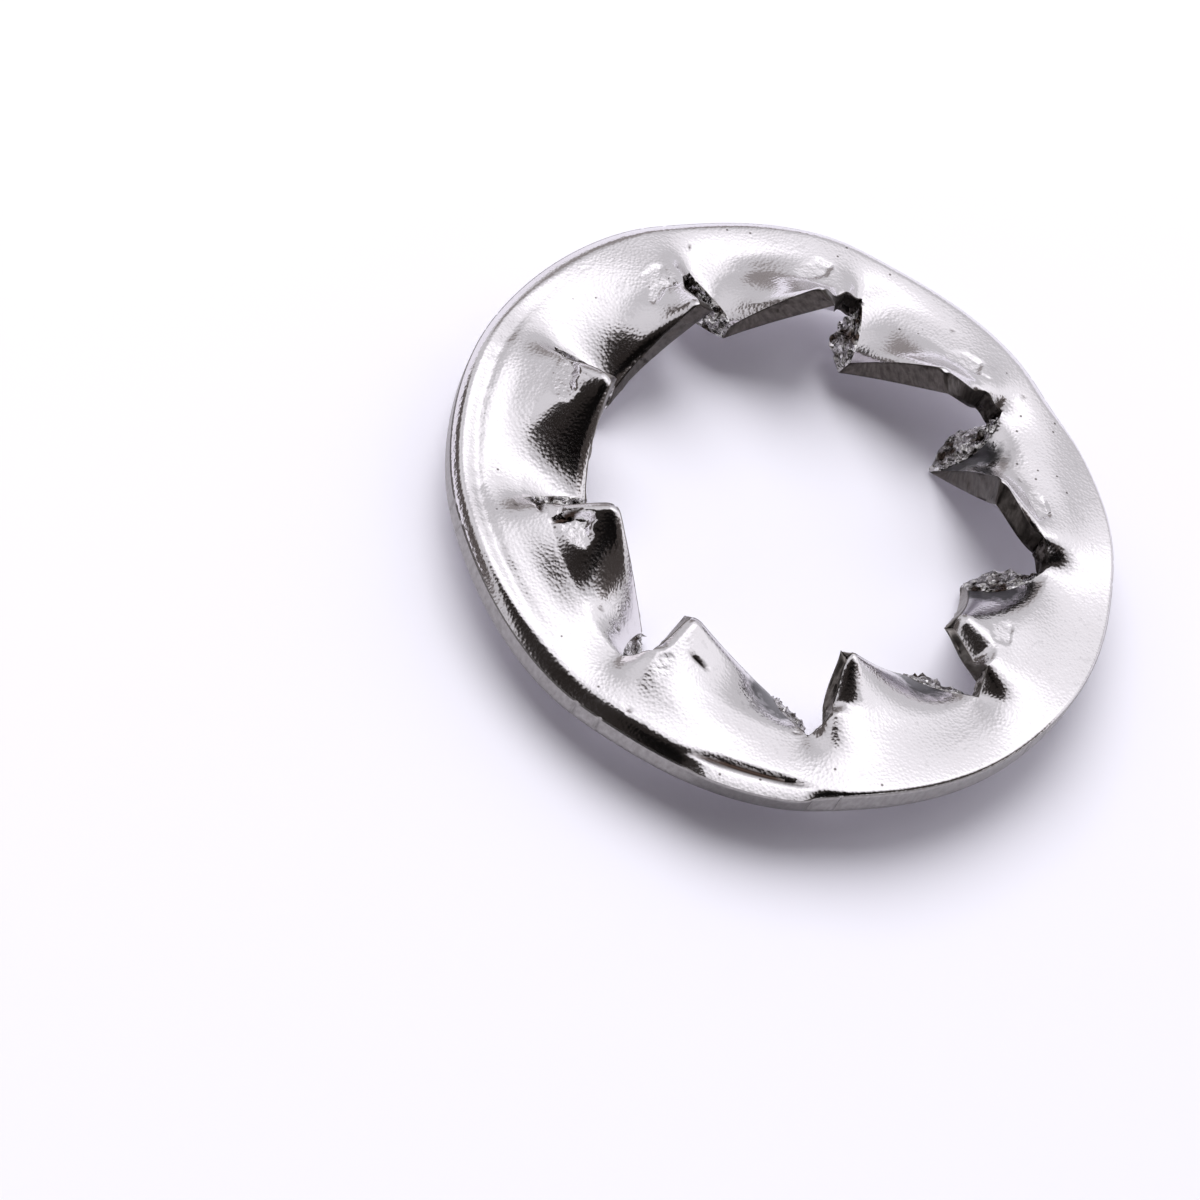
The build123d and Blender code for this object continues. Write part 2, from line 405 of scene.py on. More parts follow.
@dataclass(frozen=True)
class BrightNickel:
    """Bright nickel, barrel-plated over tumbled steel.

    The eye gets a mirror with a fine satin bloom: reflections are bright and a little warm, and
    their borders break up into specks where the tumbling left its grain. Small pits hold dirt, and
    their floors are darkened further as painted shade. Where a tooth's side was drawn through the
    die the plating is thin and dull, and that band is also darkened as painted shade, for the dark
    reflection there.
    """

    name: str = "bright_nickel_plated_steel"
    light_tone: str = "#E9E6E8"
    dull_tone: str = "#D8D4D5"
    # Tone of the lowered-side band: worn plating, and painted shade for a dark reflection.
    rubbed_and_shade_tone: str = "#5C5B5C"
    # Tone of dirt specks and pit floors; in the pits it is also painted shade.
    pit_dirt_and_shade_tone: str = "#40342E"
    roughness: float = 0.15
    bare_roughness: float = 0.36
    # The real grain is about 0.04 mm across. It is drawn twice as coarse, so that it shows.
    grain_mm: float = 0.085
    grain_height_mm: float = 0.0048
    wave_mm: float = 0.3
    wave_height_mm: float = 0.002
    crumple_mm: float = 0.16
    crumple_height_mm: float = 0.022
    bloom_mm: float = 2.0
    speck_mm: float = 0.5
    speck_share: float = 0.09
    speck_threshold: float = 0.55

    def material(self) -> bpy.types.Material:
        """Builds the material.

        Grain is a field of cells grain_mm across over slow waves, and the coined flats are
        crumpled. Worn patches change the gloss a little. Specks lie at the centres of cells
        speck_mm across, in the cells whose random draw passes the threshold.

        Returns:
            The material.
        """
        mat, tree = blank_material(self.name)
        coord = add_node(tree, "TexCoord").outputs["Object"]
        pit_dirt_and_shade, rub_and_shade, coined = (
            add_node(tree, "Attribute", attribute_name=name).outputs["Fac"]
            for name in ("pit_dirt_and_shade", "rub_and_shade", "coined"))
        grain = add_node(tree, "TexVoronoi", {
            "Vector": coord, "Scale": 1 / (self.grain_mm * MM), "Smoothness": 0.4},
            feature="SMOOTH_F1")
        wave, crumple, bloom = (
            add_node(tree, "TexNoise", {
                "Vector": coord, "Scale": 1 / (size * MM), "Detail": detail,
                "Roughness": rough}).outputs["Fac"]
            for size, detail, rough in (
                (self.wave_mm, 3.0, 0.6), (self.crumple_mm, 2.0, 0.5), (self.bloom_mm, 5.0, 0.65)))
        worn = add_node(tree, "MapRange", {
            "Value": wave, "From Min": 0.35, "From Max": 0.65, "To Min": -0.25, "To Max": 0.25})
        # The lowered-side band, worn plating and painted shade, broken up by the waves.
        edge = add_node(tree, "Math", {0: rub_and_shade, 1: worn.outputs["Result"]}, operation="ADD")
        rubbed_and_shaded = add_node(tree, "MapRange", {
            "Value": edge.outputs[0], "From Min": 0.2, "From Max": 0.8}).outputs["Result"]
        speck = add_node(tree, "TexVoronoi", {
            "Vector": coord, "Scale": 1 / (self.speck_mm * MM)}, feature="F1")
        dot = add_node(tree, "MapRange", {
            "Value": speck.outputs["Distance"], "From Min": self.speck_share * 0.6,
            "From Max": self.speck_share, "To Min": 0.8, "To Max": 0.0})
        draw = add_node(tree, "SeparateColor", {0: speck.outputs["Color"]})
        kept = add_node(tree, "Math", {
            0: draw.outputs[0], 1: self.speck_threshold}, operation="GREATER_THAN")
        dots = add_node(tree, "Math", {
            0: dot.outputs["Result"], 1: kept.outputs[0]}, operation="MULTIPLY")
        # Dark specks of dirt, and pit floors darkened as dirt and painted shade.
        dirt_and_shade = add_node(tree, "Math", {0: pit_dirt_and_shade, 1: dots.outputs[0]}, operation="MAXIMUM")
        tone: Any = hex_linear(self.dull_tone)
        for share, code in (
                (bloom, self.light_tone), (rubbed_and_shaded, self.rubbed_and_shade_tone),
                (dirt_and_shade.outputs[0], self.pit_dirt_and_shade_tone)):
            tone = add_node(tree, "MixRGB", {
                "Fac": share, "Color1": tone, "Color2": hex_linear(code)}).outputs[0]
        gloss = add_node(tree, "MapRange", {
            "Value": bloom, "From Min": 0.3, "From Max": 0.7,
            "To Min": self.roughness * 0.8, "To Max": self.roughness * 1.25})
        rough = add_node(tree, "MapRange", {
            "Value": rubbed_and_shaded, "To Min": gloss.outputs["Result"], "To Max": self.bare_roughness})
        normal: dict[str, Any] = {}
        for height, strength, reach in (
                (wave, 1.0, self.wave_height_mm),
                (grain.outputs["Distance"], 1.0, self.grain_height_mm),
                (crumple, coined, self.crumple_height_mm)):
            bump = add_node(tree, "Bump", {
                "Height": height, "Strength": strength, "Distance": reach * MM, **normal})
            normal = {"Normal": bump.outputs["Normal"]}
        shader = add_node(tree, "BsdfPrincipled", {
            "Base Color": tone, "Metallic": 1.0, "Roughness": rough.outputs["Result"], **normal})
        add_node(tree, "OutputMaterial", {"Surface": shader.outputs["BSDF"]})
        return mat


@dataclass(frozen=True)
class ShearedSteel:
    """Steel as the blanking die sheared it, under a thin flash of nickel.

    The eye gets a dull grey face, with faint upright score lines left by the die. The real
    ones are finer than 0.1 mm, and are drawn a little coarser so that they show.
    """

    name: str = "sheared_steel_edge"
    dark_tone: str = "#7E7A78"
    light_tone: str = "#B4B1B0"
    roughness: float = 0.34
    scores_per_mm: Triple = (8.0, 4.0, 1.0)
    score_height_mm: float = 0.006

    def material(self) -> bpy.types.Material:
        """Builds the material: score lines from a noise drawn out down the face.

        Returns:
            The material.
        """
        mat, tree = blank_material(self.name)
        layout = add_node(tree, "UVMap", uv_map="layout").outputs["UV"]
        stretch = add_node(tree, "Mapping", {"Vector": layout, "Scale": self.scores_per_mm})
        score = add_node(tree, "TexNoise", {
            "Vector": stretch.outputs["Vector"], "Scale": 1.0, "Detail": 4.0,
            "Roughness": 0.6}, noise_dimensions="2D")
        colour = add_node(tree, "MixRGB", {
            "Fac": score.outputs["Fac"], "Color1": hex_linear(self.dark_tone),
            "Color2": hex_linear(self.light_tone)})
        bump = add_node(tree, "Bump", {
            "Height": score.outputs["Fac"], "Distance": self.score_height_mm * MM})
        shader = add_node(tree, "BsdfPrincipled", {
            "Base Color": colour.outputs["Color"], "Metallic": 1.0, "Roughness": self.roughness,
            "Normal": bump.outputs["Normal"]})
        add_node(tree, "OutputMaterial", {"Surface": shader.outputs["BSDF"]})
        return mat


# Punching leaves a darker face than blanking. The much darker copy is painted shade, for the
# punched faces of teeth that lie in shade and reflect dark.
PUNCHED_STEEL = ShearedSteel("punched_steel_edge", "#5E5753", "#A39E9A", 0.36)
SHADED_PUNCHED_STEEL = ShearedSteel("punched_steel_edge_painted_shade", "#241F1D", "#6F6965", 0.4)


@dataclass(frozen=True)
class TornSteel:
    """Steel that broke away instead of being sheared.

    The eye gets crystals that flash or go dark, each at its own angle, and brown stain in the
    hollows. The flash and the dark are painted into the tones of the crystals, as painted glints
    and painted shade, over a bump. Real crystals are finer; they are drawn this coarse so that they
    show.
    """

    name: str = "torn_steel_grain"
    crystal_mm: float = 0.13
    crystal_height_mm: float = 0.045
    stain_mm: float = 0.5
    # Painted shade and painted glint: the tones between which each cell's tone is drawn.
    dark_tone: str = "#8A8683"
    light_tone: str = "#F2F0EF"
    stain_tone: str = "#453B35"
    roughness: float = 0.26

    def material(self) -> bpy.types.Material:
        """Builds the material: a tone for each cell, painted glints and painted shade, and a slow
        brown stain over them.

        Returns:
            The material.
        """
        mat, tree = blank_material(self.name)
        coord = add_node(tree, "TexCoord").outputs["Object"]
        cells = add_node(tree, "TexVoronoi", {
            "Vector": coord, "Scale": 1 / (self.crystal_mm * MM)}, feature="F1")
        draw = add_node(tree, "SeparateColor", {0: cells.outputs["Color"]})
        # Painted glints and painted shade: each cell gets its own tone.
        crystal_glint_and_shade = add_node(tree, "MixRGB", {
            "Fac": draw.outputs[0], "Color1": hex_linear(self.dark_tone),
            "Color2": hex_linear(self.light_tone)})
        stain = add_node(tree, "TexNoise", {
            "Vector": coord, "Scale": 1 / (self.stain_mm * MM), "Detail": 3.0})
        share = add_node(tree, "MapRange", {
            "Value": stain.outputs["Fac"], "From Min": 0.47, "From Max": 0.62})
        colour = add_node(tree, "MixRGB", {
            "Fac": share.outputs["Result"], "Color1": crystal_glint_and_shade.outputs[0],
            "Color2": hex_linear(self.stain_tone)})
        bump = add_node(tree, "Bump", {
            "Height": cells.outputs["Distance"], "Distance": self.crystal_height_mm * MM})
        shader = add_node(tree, "BsdfPrincipled", {
            "Base Color": colour.outputs["Color"], "Metallic": 1.0, "Roughness": self.roughness,
            "Normal": bump.outputs["Normal"]})
        add_node(tree, "OutputMaterial", {"Surface": shader.outputs["BSDF"]})
        return mat


@dataclass
class Washer:
    """The washer: a ring of sheet steel with nine inward teeth, each twisted like a propeller.

    Its teeth are numbered anticlockwise from +X.
    """

    rim_radius: float = 9.0
    sheet: float = 0.8
    rim_roll_width: float = 0.4
    rim_roll_drop: float = 0.22
    rim_roll_power: float = 1.7
    rim_draw: float = 0.03
    bead_radius: float = 8.68
    bead_reach: float = 0.17
    bead_height: float = 0.02
    groove_radius: float = 8.37
    groove_reach: float = 0.14
    groove_depth: float = 0.045
    beaded: Stretch = Stretch(206, 24, 20)
    groove_ragged: float = 0.1
    groove_ripple: Ripple = Ripple(7, 0.6)
    bead_roll_width: float = 0.24
    sharp_roll_width: float = 0.08
    sharp_roll_drop: float = 0.045
    sharp: Stretch = Stretch(355, 50, 14)
    drooped: Stretch = Stretch(98, 46, 30)
    droop_width: float = 1.2
    droop: float = 0.13
    pushed: Stretch = Stretch(288, 7, 5)
    lip_push: float = 0.16
    lip_fill: float = 0.75
    teeth: int = 9
    wave_at_rim: float = 0.08
    wave_at_root: float = 0.28
    wave_growth: float = 3.5
    swell_radius: float = 6.6
    swell_reach: float = 1.2
    swell_half_angle: float = 15.0
    wave_lean_at_rim: float = 0.3
    wave_lean_at_root: float = 0.75
    rim_bends: tuple[tuple[int, float, float], ...] = ((2, 0.117, 141.7), (3, 0.081, -28.2))
    root_raised_radius: float = 6.85
    root_lowered_radius: float = 7.25
    root_half_angle: float = 17.8
    tip_upper_radius: float = 5.42
    tip_lower_radius: float = 5.33
    lean_share: float = 0.7
    lowered_side_bow: float = 1.2
    raised_side_bow: float = 0.95
    tip_roll_width: float = 0.28
    tip_roll_drop: float = 0.12
    torn_flare: float = 0.8
    torn_lift: float = 0.16
    torn_power: float = 3.0
    torn_run: float = 0.78
    burr_seed: int = 40
    burr_mm: float = 0.35
    burr_height: float = 0.05
    burr_power: float = 8.0
    burr_fade: float = 0.25
    side_roll_run: float = 0.3
    pinch_across: Pair = (0.45, 0.55)
    pinch_inward: Pair = (0.3, 0.7)
    # Where each tooth's lowered side darkens, as worn plating and painted shade.
    rub_and_shade_across: Pair = (0.1, 0.34)
    rub_and_shade_inward: Pair = (0.12, 0.4)
    tip_grain: Grain = Grain(1, 0.5, 0.05, 0.006)
    side_grain: Grain = Grain(2, 0.4, 0.05, 0.006)
    torn_grain: Grain = Grain(3, 0.16, 0.35, 0.03)
    root_grain: Grain = Grain(4, 0.2, 0.2, 0.02)
    cut_roll: float = 0.03
    cut_foot: float = 0.15
    cut_border: float = 0.06
    grain_start: float = 0.1
    cut_crowding: Pair = (0.6, 0.2)
    cut_rows: int = 14
    torn_rows: int = 22
    rim_rows: int = 10
    notch_rows: int = 12
    across_rows: Rows = (76, 0.5, 0.75)
    inward_rows: Rows = (29, 0.3, 0.6)
    ring_rows: Rows = (34, 0.75, 0.2)
    under_rows: Rows = (12, 0.2, 0.4)
    # Some teeth also darken their lowered side or their punched faces, as painted shade.
    forms: tuple[Tooth, ...] = (
        Tooth(12.5, -0.68, 13.9, 0.88, swell=0.12, swell_angle=3, roll_width=0.5, roll_drop=0.5,
              roll_flare=1.0, rub_and_shade=1.0, torn_back=4.5, pinch=0.3),
        Tooth(16.0, -0.98, 8.8, 1.74, swell=-0.12, swell_angle=-6, rub_and_shade=1.0, torn_back=4.5,
              punch_painted_shade=True),
        Tooth(14.7, -0.23, 11.0, 1.86, swell=0.1, swell_angle=6, punch_painted_shade=True),
        Tooth(13.0, 0.24, 8.9, 2.3, bend=0.4, swell=0.2, swell_angle=1, punch_painted_shade=True),
        Tooth(14.5, -0.28, 13.0, 1.76, curl=-0.4, bend=0.35, punch_painted_shade=True),
        Tooth(15.8, -0.28, 12.4, 1.66, curl=-0.3, bend=0.12, swell=0.15, swell_angle=-3,
              crease=0.5),
        Tooth(15.1, -1.13, 11.0, 1.64, curl=0.6, bend=0.12, swell=0.16, swell_angle=-3, crease=0.2),
        Tooth(14.8, -1.03, 15.6, 0.98, curl=0.25, swell=-0.1, swell_angle=-2, rub_and_shade=1.0,
              torn_back=2.0, pinch=0.3),
        Tooth(14.6, -0.83, 13.5, 1.5, swell=0.03, swell_angle=5, roll_width=0.28, roll_drop=0.34,
              roll_flare=2.8, rub_and_shade=1.0, torn_back=2.5, pinch=0.6),
    )
    flats: tuple[Flat, ...] = (
        Flat(7.3, 110.5, 0.55, 0.28, 25, 0.035),
        Flat(7.1, 71.0, 0.65, 0.28, 20, 0.04),
        Flat(6.8, 32.0, 0.55, 0.25, 20, 0.04),
        Flat(6.5, 352.5, 0.5, 0.28, 20, 0.035),
        Flat(7.2, 265.5, 0.4, 0.3, 80, 0.0, 0.15),
        Flat(6.7, 229.5, 0.8, 0.45, 20, 0.03),
        Flat(6.8, 189.0, 0.8, 0.5, 20, 0.03),
        Flat(6.9, 150.0, 0.65, 0.4, 30, 0.02),
    )
    # Pit floors are darkened, as dirt and painted shade.
    pits: tuple[Pit, ...] = (
        *(Pit(*place, 0.03) for place in (
            (8.01, 135.7, 0.14, 0.06, 60), (7.27, 141.5, 0.12, 0.06, 10),
            (6.31, 134.4, 0.1, 0.06, 0), (7.10, 97.4, 0.12, 0.06, 20),
            (7.77, 78.2, 0.12, 0.06, 0), (8.08, 58.7, 0.1, 0.07, 0),
            (6.58, 39.0, 0.12, 0.06, 0), (8.52, 265.3, 0.12, 0.05, 10),
            (7.15, 295.6, 0.15, 0.05, 0), (6.71, 247.5, 0.12, 0.06, 60),
            (7.57, 220.6, 0.12, 0.06, 30))),
        Pit(6.51, 252.1, 0.14, 0.08, 40, 0.04),
        Pit(6.99, 220.6, 0.46, 0.12, -8, 0.09, 0.6),
        Pit(6.33, 271.5, 0.42, 0.09, 0, 0.05, 0.3),
        Pit(6.56, 226.9, 0.4, 0.13, 90, 0.1, 0.6),
        Pit(8.57, 286.6, 1.9, 0.15, 0, 0.07, 0.5),
    )

    @property
    def pitch(self) -> float:
        """Angle from one tooth to the next."""
        return 360 / self.teeth

    @property
    def root_radius(self) -> float:
        """Mean radius of the notch roots."""
        return (self.root_raised_radius + self.root_lowered_radius) / 2

    def ring_height(self, radius: Grid, angle: Grid) -> Grid:
        """Upper surface of the ring.

        Each tooth's wave is atan(k sin x / (1 + k cos x)), a sine that leans towards the notch,
        and grows from the rim inwards. The rim adds two slow bends, h cos(n (angle - crest)).

        Args:
            radius: distance from the axis.
            angle: degrees round it.

        Returns:
            Heights.
        """
        outward = (self.rim_radius - radius) / (self.rim_radius - self.root_radius)
        lean = mix(self.wave_lean_at_rim, self.wave_lean_at_root, ease(outward) ** 2)
        growth = np.clip(outward, 0, None) ** self.wave_growth
        size = mix(self.wave_at_rim, self.wave_at_root, 2 * growth / (1 + growth))
        turn = np.radians(self.teeth * angle)
        wave = -np.arctan2(lean * np.sin(turn), 1 + lean * np.cos(turn)) / np.arcsin(lean)
        bend = sum(h * np.cos(np.radians(n * (angle - crest))) for n, h, crest in self.rim_bends)
        return self.sheet / 2 + size * wave + bend * (1 - ease(outward)) + self.swell(radius, angle)

    def swell(self, radius: Grid, angle: Grid) -> Grid:
        """The round swell or hollow that the twisting left at each tooth's root.

        It is the tooth's own height times (1 - x^2)^2 along the radius and again round the axis.

        Args:
            radius: distance from the axis.
            angle: degrees round it.

        Returns:
            Heights.
        """
        reach = np.clip(1 - ((radius - self.swell_radius) / self.swell_reach) ** 2, 0, None) ** 2
        rise = 0 * angle
        for index, tooth in enumerate(self.forms):
            middle = index * self.pitch + tooth.swell_angle
            turn = wrapped(angle - middle) / self.swell_half_angle
            rise = rise + tooth.swell * np.clip(1 - turn**2, 0, None) ** 2
        return rise * reach

    def root_line(self, across: Grid) -> tuple[Grid, Grid]:
        """Radius and angle along a tooth's root, from its lowered side, 0, to its raised one, 1."""
        radius = mix(self.root_lowered_radius, self.root_raised_radius, across)
        return radius, mix(self.root_half_angle, -self.root_half_angle, across)

    def tip_height(self, tooth: Tooth, across: Grid) -> Grid:
        """Height of a tip: a straight rise, mixed with 1 - (1 - across)^2 where it is curled."""
        share = mix(across, 1 - (1 - across) ** 2, tooth.curl)
        return mix(tooth.lowered_height, tooth.raised_height, share)

    def tooth_section(self, index: int, across: Grid, inward: Grid,
                      tip_radius: float) -> tuple[Grid, Grid, Grid]:
        """Radius, angle and height of a tooth's upper surface, without its rolled edges.

        The height leaves the ring's along a hyperbola, (hypot(t, b) - b) / (hypot(1, b) - b), so
        the tooth bends at its root and then runs straight to its tip line. A creased tooth mixes
        in 1 - (1 - t)^3, which turns most of the way close to the root.

        Args:
            index: which tooth.
            across: 0 at the lowered side to 1 at the raised side.
            inward: 0 at the root to 1 at the tip.
            tip_radius: how near the axis it ends.

        Returns:
            Radius, angle and height.
        """
        tooth = self.forms[index]
        centre = index * self.pitch
        root_radius, root_angle = self.root_line(across)
        tip_angle = mix(tooth.lowered_angle, -tooth.raised_angle, across)
        radius = mix(root_radius, tip_radius, inward)
        bow = (1 - inward) ** mix(self.lowered_side_bow, self.raised_side_bow, across)
        angle = centre + mix(tip_angle, root_angle, bow)
        bend = tooth.bend
        leave = (np.hypot(inward, bend) - bend) / (np.hypot(1, bend) - bend)
        leave = mix(leave, 1 - (1 - inward) ** 3, tooth.crease)
        gap = self.tip_height(tooth, across) - self.ring_height(tip_radius, centre + tip_angle)
        return radius, angle, self.ring_height(radius, angle) + gap * leave

    def tooth_top(self, index: int, across: Grid, inward: Grid) -> Grid:
        """Upper surface of a tooth.

        A roll drops by s^2, s being how far into its width a point lies, and a flared one
        widens towards the root. The torn side stands back by (1 - across)^2 times a sine of
        the way inward.

        Args:
            index: which tooth.
            across: 0 at the lowered side to 1 at the raised side.
            inward: 0 at the root to 1 at the tip.

        Returns:
            Points.
        """
        tooth = self.forms[index]
        radius, angle, height = self.tooth_section(index, across, inward, self.tip_upper_radius)
        tip_angle = tooth.lowered_angle + tooth.raised_angle
        breadth = np.radians(mix(2 * self.root_half_angle, tip_angle, inward))
        from_side = (1 - across) * breadth * radius
        roll_width = tooth.roll_width * (1 + tooth.roll_flare * (1 - inward))
        side = np.clip(1 - from_side / roll_width, 0, None) ** 2 * ease(inward / self.side_roll_run)
        from_tip = (1 - inward) * (self.root_radius - self.tip_upper_radius)
        tip = np.clip(1 - from_tip / self.tip_roll_width, 0, None) ** 2
        back = tooth.torn_back * (1 - across) ** 2 * np.sin(self.torn_run * np.pi * inward)
        drop = tooth.roll_drop * side + self.tip_roll_drop * tip
        return space(radius, angle - back, height - drop)

    def tip_slope(self, tooth: Tooth, across: Grid) -> Grid:
        """How steeply a tip's underside leans: its rise over its arc, in part as an S.

        Args:
            tooth: the tooth.
            across: 0 at the lowered side to 1 at the raised side.

        Returns:
            Slopes.
        """
        level_ends = np.pi / 2 * np.sin(np.pi * across)
        rate = mix(level_ends, mix(1, 2 - 2 * across, tooth.curl), self.lean_share)
        arc = np.radians(tooth.lowered_angle + tooth.raised_angle) * self.tip_lower_radius
        return (tooth.raised_height - tooth.lowered_height) * rate / arc

    def tooth_bottom(self, index: int, across: Grid, inward: Grid) -> Grid:
        """Lower surface of a tooth.

        It lies the sheet's thickness below the upper one, square to the twist. At the torn side it
        flares out by (1 - across)^power times a sine of the way inward, with ripples for burrs. A
        pinched tooth thins towards its raised corner.

        Args:
            index: which tooth.
            across: 0 at the lowered side to 1 at the raised side.
            inward: 0 at the root to 1 at the tip.

        Returns:
            Points.
        """
        tooth = self.forms[index]
        radius, angle, height = self.tooth_section(index, across, inward, self.tip_lower_radius)
        lean = np.arctan(self.tip_slope(tooth, across) * inward)
        torn = (1 - across) ** self.torn_power * np.sin(self.torn_run * np.pi * inward)
        ripple = Ripple(self.burr_seed + index, self.burr_mm).at(space(radius, angle, height))
        ends = ease(inward / self.burr_fade) * ease((1 - inward) / self.burr_fade)
        torn = torn + self.burr_height * ripple * (1 - across) ** self.burr_power * ends
        shift = self.torn_flare * torn - self.sheet * np.sin(lean)
        drop = self.sheet * np.cos(lean) - self.torn_lift * torn
        pinch = ease(across, *self.pinch_across) * ease(inward, *self.pinch_inward)
        kept = 1 - tooth.pinch * pinch
        return space(radius, angle + np.degrees(shift * kept / radius), height - drop * kept)

    def rubbed_and_shaded(self, index: int, across: Grid, inward: Grid) -> Grid:
        """Worn plating and painted shade on a lowered side: a smooth step across times one inward.
        """
        share = (1 - ease(across, *self.rub_and_shade_across)) * ease(inward, *self.rub_and_shade_inward)
        return self.forms[index].rub_and_shade * share

    def ring_line(self, index: int, along: Grid) -> tuple[Grid, Grid]:
        """Inner edge of a pitch of the ring.

        Args:
            index: which tooth.
            along: 0 to 1 along the tooth's root, then 1 to 2 along the notch's.

        Returns:
            Radius and angle.
        """
        past = np.clip(along - 1, 0, 1)
        radius, angle = self.root_line(along - past)
        radius = radius + (self.root_lowered_radius - self.root_raised_radius) * past
        return radius, index * self.pitch + angle - (self.pitch - 2 * self.root_half_angle) * past

    def ring_top(self, index: int, along: Grid, outward: Grid) -> Grid:
        """Upper surface of one pitch of the ring, with the roll that the die left at its rim.

        The roll drops by s^power, s being how far into its width a point lies. It is narrow
        behind the die's bead and on the sharp side, and the metal that the gouge pushed out
        fills it. Opposite the gouge a wider band droops too, by s^2.

        Args:
            index: which tooth.
            along: 0 to 1 along the tooth's root, then 1 to 2 along the notch's.
            outward: 0 at the inner edge to 1 at the rim.

        Returns:
            Points.
        """
        inner, angle = self.ring_line(index, along)
        beaded, pushed = self.beaded.share(angle), self.pushed.share(angle)
        sharp, drooped = self.sharp.share(angle), self.drooped.share(angle)
        edge = self.rim_radius - self.rim_draw + self.lip_push * pushed
        radius = mix(inner, edge, outward)
        width = mix(self.rim_roll_width, self.bead_roll_width, beaded)
        into = np.clip(1 - (edge - radius) / mix(width, self.sharp_roll_width, sharp), 0, 1)
        deep = mix(self.rim_roll_drop, self.sharp_roll_drop, sharp)
        drop = deep * into**self.rim_roll_power * (1 - self.lip_fill * pushed)
        outer = np.clip(1 - (edge - radius) / self.droop_width, 0, 1)
        drop = drop + self.droop * drooped * outer**2
        height = self.ring_height(radius, angle) - drop + beaded * self.bead(radius, angle)
        return space(radius, angle, height)

    def bead(self, radius: Grid, angle: Grid) -> Grid:
        """The bead: a crest at one radius and a groove inside it, each h exp(-x^2).

        Args:
            radius: distance from the axis.
            angle: degrees round it.

        Returns:
            Heights.
        """
        ragged = 1 + self.groove_ragged * self.groove_ripple.at(space(radius, angle, 0 * radius))
        crest = np.exp(-(((radius - self.bead_radius) / self.bead_reach) ** 2))
        groove = np.exp(-(((radius - self.groove_radius) / self.groove_reach) ** 2))
        return self.bead_height * crest - self.groove_depth * groove * ragged

    def ring_bottom(self, index: int, along: Grid, outward: Grid) -> Grid:
        """Lower surface of one pitch of the ring, straight below the upper one.

        Args:
            index: which tooth.
            along: 0 to 1 along the tooth's root, then 1 to 2 along the notch's.
            outward: 0 at the inner edge to 1 at the rim.

        Returns:
            Points.
        """
        inner, angle = self.ring_line(index, along)
        radius = mix(inner, self.rim_radius, outward)
        return space(radius, angle, self.ring_height(radius, angle) - self.sheet)

    def wall(self, upper: Grid, lower: Grid, rows: int, grain: Grain | None) -> Grid:
        """A cut face between two edges.

        It is ruled from the upper edge to the lower one, swells out by a quarter-round at the top,
        and carries the grain square to itself. All relief fades out at the four borders, where
        the face meets its neighbours.

        Args:
            upper: points of the upper edge, in order.
            lower: points of the lower edge, one below each.
            rows: points down the face.
            grain: relief of torn metal.

        Returns:
            Points, along by down by three.
        """
        depth = clustered(rows, *self.cut_crowding)
        fall = lower - upper
        tall = np.linalg.norm(fall, axis=1)
        travel = np.gradient(upper + lower, axis=0)
        into = np.cross(travel, fall)
        into /= np.maximum(np.linalg.norm(into, axis=1, keepdims=True), 1e-9)
        run = np.cumsum(np.linalg.norm(np.diff(upper, axis=0, prepend=upper[:1]), axis=1))
        ends = ease(run / self.cut_border) * ease((run[-1] - run) / self.cut_border)
        down = depth[None, :] * tall[:, None]
        near = np.clip(1 - down / self.cut_roll, 0, 1)
        relief = self.cut_roll * np.sqrt(1 - near**2) * ease((1 - depth[None, :]) / self.cut_foot)
        if grain is not None:
            inside = ease(down / self.grain_start) * ease((tall[:, None] - down) / self.cut_border)
            relief = relief + grain.at(run[:, None] + 0 * down, down) * inside
        ruled = mix(upper[:, None], lower[:, None], depth[None, :, None])
        return ruled - into[:, None] * (relief * ends[:, None])[..., None]

    def pitch_skins(self, shell: Shell, index: int) -> None:
        """Adds every face of one tooth, its pitch of the ring and the notch beside it.

        Args:
            shell: the shell being built.
            index: which tooth.
        """
        # Teeth so flagged get their punched faces in painted shade.
        punched = Skin.PAINTED_SHADE if self.forms[index].punch_painted_shade else Skin.PUNCHED
        across = clustered(*self.across_rows)
        a, t = np.meshgrid(across, clustered(*self.inward_rows), indexing="ij")
        top = self.tooth_top(index, a, t)
        bottom = self.tooth_bottom(index, a, t)
        shell.add(top, Skin.PLATED, turned=True, upper=True, rub_and_shade=self.rubbed_and_shaded(index, a, t))
        shell.add(bottom, Skin.PLATED)
        for skin, upper, lower, rows, grain in (
                (punched, top[:, -1], bottom[:, -1], self.cut_rows, self.tip_grain),
                (punched, top[-1][::-1], bottom[-1][::-1], self.cut_rows, self.side_grain),
                (Skin.TORN, top[0], bottom[0], self.torn_rows, self.torn_grain)):
            shell.add(self.wall(upper, lower, rows, grain.reseeded(index)), skin, turned=True)
        outward = 1 - clustered(*self.ring_rows)[::-1]
        sparse = clustered(*self.under_rows)
        for along in (across, 1 + np.linspace(0, 1, self.notch_rows)):
            ring = self.ring_top(index, *np.meshgrid(along, outward, indexing="ij"))
            under = self.ring_bottom(index, *np.meshgrid(along, sparse, indexing="ij"))
            rim = self.wall(ring[::-1, -1], under[::-1, -1], self.rim_rows, None)
            shell.add(ring, Skin.PLATED, upper=True)
            shell.add(under, Skin.PLATED, turned=True)
            shell.add(rim, Skin.SHEARED, turned=True)
        root = self.wall(ring[:, 0], under[:, 0], self.cut_rows, self.root_grain.reseeded(index))
        shell.add(root, punched, turned=True)

